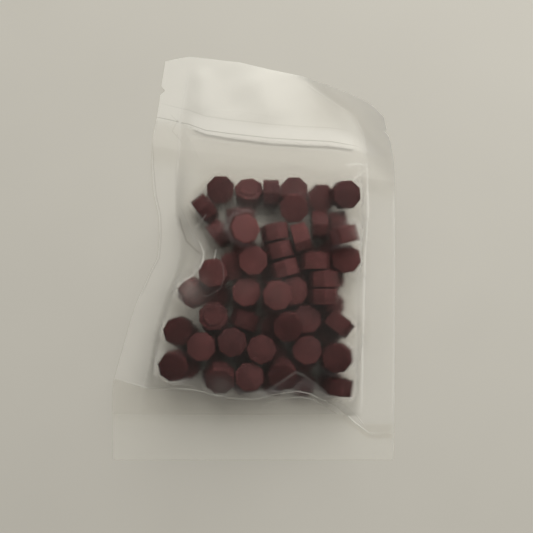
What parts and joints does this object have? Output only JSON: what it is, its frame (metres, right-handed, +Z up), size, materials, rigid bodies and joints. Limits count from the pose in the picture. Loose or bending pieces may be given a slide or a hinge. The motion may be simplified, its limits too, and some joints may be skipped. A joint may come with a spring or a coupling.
{
  "type": "sealing wax bead pouch",
  "caption": "Frosted stand-up pouch with a press-to-close zip, lying on its back and full of octagonal sealing-wax beads, each with a low round boss on one face",
  "frame": {"origin": "under the middle of the pouch's outline, on the table that it lies on", "axes": "+Y towards the zipped mouth, +Z up out of the front film, +X to the right of someone who looks at the front with the mouth away from them"},
  "size_m": [0.09, 0.1286, 0.0218],
  "materials": {
    "film": "frosted translucent film",
    "seal": "frosted film, two layers welded",
    "zip": "smooth translucent plastic",
    "wax": "burgundy sealing wax, satin, faintly layered"
  },
  "bodies": {
    "pouch": {"back_film": "film", "side_seal_left": "seal", "side_seal_right": "seal", "zip_channel": "zip", "front_film": "film", "gusset_film": "film", "lower_beads_1": "wax", "lower_beads_2": "wax", "lower_beads_3": "wax", "lower_beads_4": "wax", "lower_beads_5": "wax", "lower_beads_6": "wax", "bead_01": "wax", "bead_02": "wax", "bead_03": "wax", "bead_04": "wax", "bead_05": "wax", "bead_06": "wax", "bead_07": "wax", "bead_08": "wax", "bead_09": "wax", "bead_10": "wax", "bead_11": "wax", "bead_12": "wax", "bead_13": "wax", "bead_14": "wax", "bead_15": "wax", "bead_16": "wax", "bead_17": "wax", "bead_18": "wax", "bead_19": "wax", "bead_20": "wax", "bead_21": "wax", "bead_22": "wax", "bead_23": "wax", "bead_24": "wax", "bead_25": "wax", "bead_26": "wax", "bead_27": "wax", "bead_28": "wax", "bead_29": "wax", "bead_30": "wax", "bead_31": "wax", "bead_32": "wax", "bead_33": "wax", "bead_34": "wax", "bead_35": "wax", "bead_36": "wax", "bead_37": "wax", "bead_38": "wax", "bead_39": "wax", "bead_40": "wax", "bead_41": "wax", "bead_42": "wax", "bead_43": "wax", "bead_44": "wax", "bead_45": "wax"},
    "mouth_lip": {"front_lip": "film", "zip_rib": "zip"},
    "skirt": {"base_skirt": "seal"}
  },
  "joints": [
    {"name": "mouth_open", "type": "hinge", "parent": "pouch", "child": "mouth_lip", "pos_m": [0.00595, 0.03026, 0.0102], "axis": [0.9889, -0.1483, 0], "range_deg": [0, 35]},
    {"name": "skirt_fold", "type": "hinge", "parent": "pouch", "child": "skirt", "pos_m": [0, -0.04932, 0.0005], "axis": [-1, 0, 0], "range_deg": [0, 75]}
  ]
}
